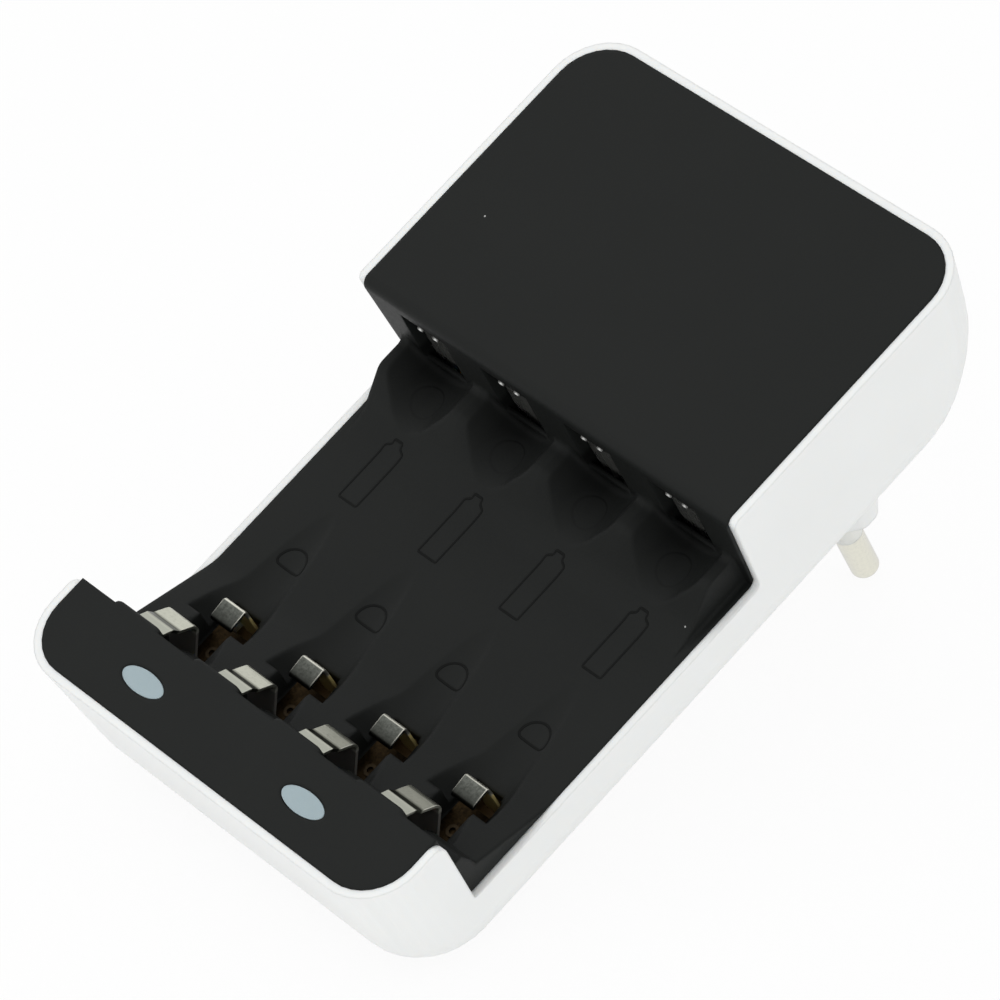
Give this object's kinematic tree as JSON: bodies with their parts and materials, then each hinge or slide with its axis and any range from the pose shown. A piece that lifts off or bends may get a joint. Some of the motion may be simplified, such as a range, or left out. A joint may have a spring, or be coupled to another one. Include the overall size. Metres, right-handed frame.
{
  "type": "plug-in battery charger",
  "caption": "Plug-in charger with a pale moulded case, a black open bay for AA or AAA cells, sprung contacts, oval lamp windows and a two-pin mains plug below",
  "frame": {"origin": "midway between the plug pins, on the end face of the plug neck", "axes": "+Z from the plug towards the cell bay, -Y towards the lamp end, +X to the right when the lamp end is nearest"},
  "size_m": [0.0684, 0.1099, 0.0654],
  "materials": {
    "case_white": "satin",
    "cover_black": "matt",
    "window": "frosted",
    "lamp": "clear",
    "contact_metal": "nickel plated",
    "base_metal": "nickel plated",
    "pin_metal": "nickel plated",
    "sleeve_white": "satin",
    "lead": "satin",
    "board": "lacquered",
    "core": "stacked sheets",
    "coil": "lacquered wire",
    "capacitor": "sleeved",
    "chip": "moulded",
    "screw": "plated"
  },
  "bodies": {
    "charger": {"lower_case": "case_white", "top_cover": "cover_black", "lens_left": "window", "lens_right": "window", "lamp_left": "lamp", "lamp_right": "lamp", "positive_contact_1": "contact_metal", "positive_contact_2": "contact_metal", "positive_contact_3": "contact_metal", "positive_contact_4": "contact_metal", "contact_base_1": "base_metal", "contact_base_2": "base_metal", "contact_base_3": "base_metal", "contact_base_4": "base_metal", "plug_pin_left": "pin_metal", "plug_pin_right": "pin_metal", "pin_sleeve_left": "sleeve_white", "pin_sleeve_right": "sleeve_white", "mains_lead_left": "lead", "mains_lead_right": "lead", "circuit_board": "board", "transformer_core": "core", "transformer_coil": "coil", "smoothing_capacitors": "capacitor", "charge_controller": "chip", "rectifier_diodes": "chip", "case_screws": "screw"},
    "aa_spring_1": {"aa_leaf_1": "contact_metal"},
    "aa_spring_2": {"aa_leaf_2": "contact_metal"},
    "aa_spring_3": {"aa_leaf_3": "contact_metal"},
    "aa_spring_4": {"aa_leaf_4": "contact_metal"},
    "aaa_spring_1": {"aaa_leaf_1": "contact_metal"},
    "aaa_spring_2": {"aaa_leaf_2": "contact_metal"},
    "aaa_spring_3": {"aaa_leaf_3": "contact_metal"},
    "aaa_spring_4": {"aaa_leaf_4": "contact_metal"}
  },
  "joints": [
    {"name": "aa_leaf_bend_1", "type": "hinge", "parent": "charger", "child": "aa_spring_1", "pos_m": [-0.02265, -0.0741, 0.0251], "axis": [1, 0, 0], "range_deg": [0, 11], "stiffness_Nm_per_rad": 0.2},
    {"name": "aa_leaf_bend_2", "type": "hinge", "parent": "charger", "child": "aa_spring_2", "pos_m": [-0.00755, -0.0741, 0.0251], "axis": [1, 0, 0], "range_deg": [0, 11], "stiffness_Nm_per_rad": 0.2},
    {"name": "aa_leaf_bend_3", "type": "hinge", "parent": "charger", "child": "aa_spring_3", "pos_m": [0.00755, -0.0741, 0.0251], "axis": [1, 0, 0], "range_deg": [0, 11], "stiffness_Nm_per_rad": 0.2},
    {"name": "aa_leaf_bend_4", "type": "hinge", "parent": "charger", "child": "aa_spring_4", "pos_m": [0.02265, -0.0741, 0.0251], "axis": [1, 0, 0], "range_deg": [0, 11], "stiffness_Nm_per_rad": 0.2},
    {"name": "aaa_leaf_bend_1", "type": "hinge", "parent": "charger", "child": "aaa_spring_1", "pos_m": [-0.02265, -0.0646, 0.0251], "axis": [1, 0, 0], "range_deg": [0, 21], "stiffness_Nm_per_rad": 0.045},
    {"name": "aaa_leaf_bend_2", "type": "hinge", "parent": "charger", "child": "aaa_spring_2", "pos_m": [-0.00755, -0.0646, 0.0251], "axis": [1, 0, 0], "range_deg": [0, 21], "stiffness_Nm_per_rad": 0.045},
    {"name": "aaa_leaf_bend_3", "type": "hinge", "parent": "charger", "child": "aaa_spring_3", "pos_m": [0.00755, -0.0646, 0.0251], "axis": [1, 0, 0], "range_deg": [0, 21], "stiffness_Nm_per_rad": 0.045},
    {"name": "aaa_leaf_bend_4", "type": "hinge", "parent": "charger", "child": "aaa_spring_4", "pos_m": [0.02265, -0.0646, 0.0251], "axis": [1, 0, 0], "range_deg": [0, 21], "stiffness_Nm_per_rad": 0.045}
  ]
}
